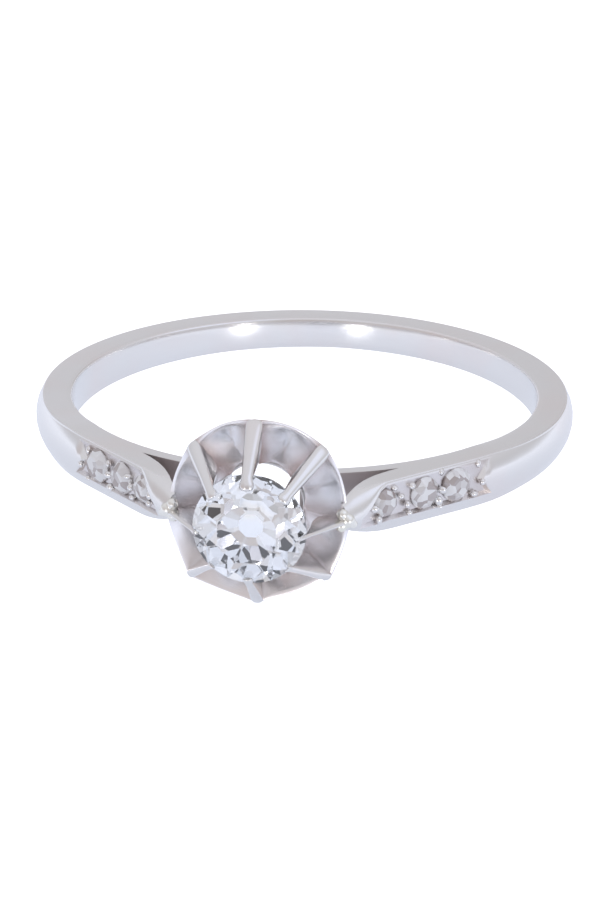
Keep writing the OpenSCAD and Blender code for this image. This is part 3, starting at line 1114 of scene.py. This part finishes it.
# Finishes
worked_metal = worked_metal_group()
polished = metal("polished white gold", worked_metal, colour=(0.775, 0.765, 0.755),
                 tint=(0.78, 0.745, 0.73), dullness=0.12, unevenness=0.12, bump=4)
satin = metal("satin white gold", worked_metal, colour=(0.775, 0.765, 0.755),
              tint=(0.78, 0.75, 0.735), dullness=0.32, unevenness=0.12, bump=4)
# The cup's bright cut is a little duller and more uneven than the polish, and its colour is painted
# light: lighter than the other white gold, to lift the cup's shade. Beside the claws and towards the
# hole it goes brown, which is painted shade.
bright_cut_painted_light_and_shade = metal("bright cut white gold, painted light and shade", worked_metal, colour=(0.96, 0.95, 0.97),
                   tint=(0.94, 0.9, 0.89), dullness=0.16, unevenness=0.15, bump=2,
                   painted_shade=(0.46, 0.35, 0.32))
# Inside the gaps: rougher metal, with painted shade in its darker, browner colours
unpolished_with_painted_shade = metal("unpolished white gold", worked_metal, colour=(0.73, 0.68, 0.67),
                   tint=(0.66, 0.59, 0.57), dullness=0.3, unevenness=0.3, bump=6)
cut_channel = metal("cut channel", worked_metal, colour=(0.72, 0.69, 0.69),
                    tint=(0.6, 0.54, 0.52), dullness=0.2, unevenness=0.2, bump=10)
solder_metal = metal("solder", worked_metal, colour=(0.84, 0.83, 0.78),
                     tint=(0.82, 0.8, 0.68), dullness=0.14, unevenness=0.2, bump=20)
centre_clear = stone_material("old cut diamond", clearness=1.0, clear=(0.95, 0.975, 1.0),
                              second_tint=(1.0, 0.96, 0.88), tint_pattern=("ShaderNodeTexNoise", 700.0, 2.0),
                              tint_from=0.56, tint_to=0.62)
# Painted sparkle: the small diamonds' light and dark cells stand in for facets catching and missing the
# light
small_painted_sparkle = stone_material("small diamonds with painted sparkle", clearness=0.3, clear=(1.0, 1.0, 1.0),
                             second_tint=(0.45, 0.38, 0.36), tint_pattern=("ShaderNodeTexVoronoi", 4000.0, 0.0),
                             tint_from=0.4, tint_to=0.75)

# Shank, with its finishes in the order of their numbers
keep_creases(metal_piece(shank(), "shank", polished, satin, unpolished_with_painted_shade, cut_channel))

# Head
for name, bm, material in (("cup", cup(), bright_cut_painted_light_and_shade), ("collar", collar(), polished)):
    bm.transform(TO_HEAD)
    keep_creases(metal_piece(bm, name, material))
bm = claws()
bm.transform(TO_HEAD)
round_off(metal_piece(bm, "claws", polished))
bm = old_cut(STONE_D)
bm.transform(TO_HEAD @ Matrix.Translation((0, 0, GIRDLE_H)))
finish_piece(bm, "centre_diamond", [centre_clear], "centre_stone", ["centre_stone"])

# Shoulders
for side, word in ((RIGHT, "right"), (LEFT, "left")):
    metal_piece(grains(side), f"{word}_grains", polished)
    melt(metal_piece(solder(side), f"{word}_solder", solder_metal))
    for number, (along, diameter) in enumerate(zip(SMALL_AT[side], SMALL_D), 1):
        bm = single_cut(diameter)
        bm.transform(on_arm(side, along, SMALL_SINK))
        finish_piece(bm, f"{word}_small_diamond_{number}", [small_painted_sparkle], "small_stones",
                     [f"{word}_stone_{number}"])
